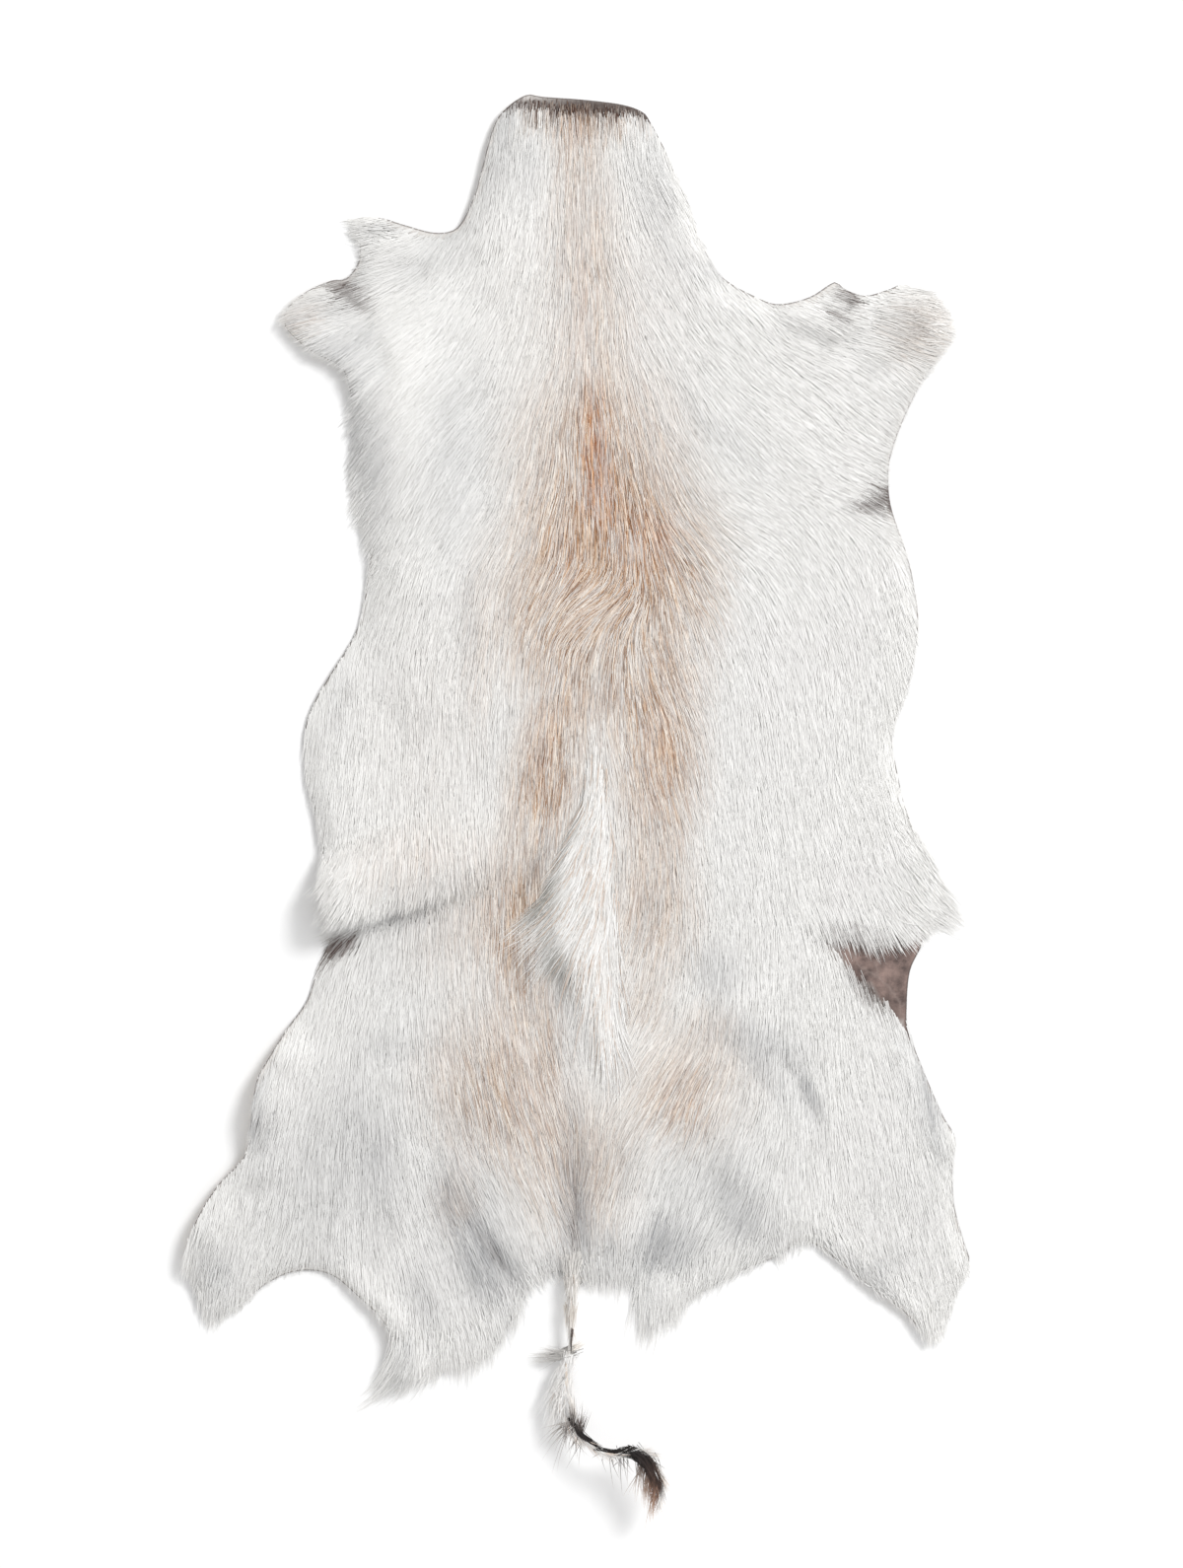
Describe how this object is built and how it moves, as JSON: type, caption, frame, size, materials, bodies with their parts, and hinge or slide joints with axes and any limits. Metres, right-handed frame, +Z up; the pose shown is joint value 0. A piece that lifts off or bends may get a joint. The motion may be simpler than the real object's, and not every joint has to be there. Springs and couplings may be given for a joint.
{
  "type": "springbok hide",
  "caption": "Tanned springbok hide with the hair on, lying flat with its hair side up, a raised flank fold, a fan of long white hair on the back and a curled tail.",
  "frame": {"origin": "on the floor under the middle of the hide, tail and hair locks included", "axes": "+Y from the tail to the neck, +X to the right seen from above, +Z up from the floor through the hair"},
  "size_m": [0.6391, 1.154, 0.0375],
  "materials": {
    "coat": "lying hair, soft satin sheen, white with a fawn saddle",
    "skin_leather": "tanned skin side, matt, with a thin dark cut edge"
  },
  "bodies": {
    "root": {"hide": "coat"}
  },
  "joints": []
}
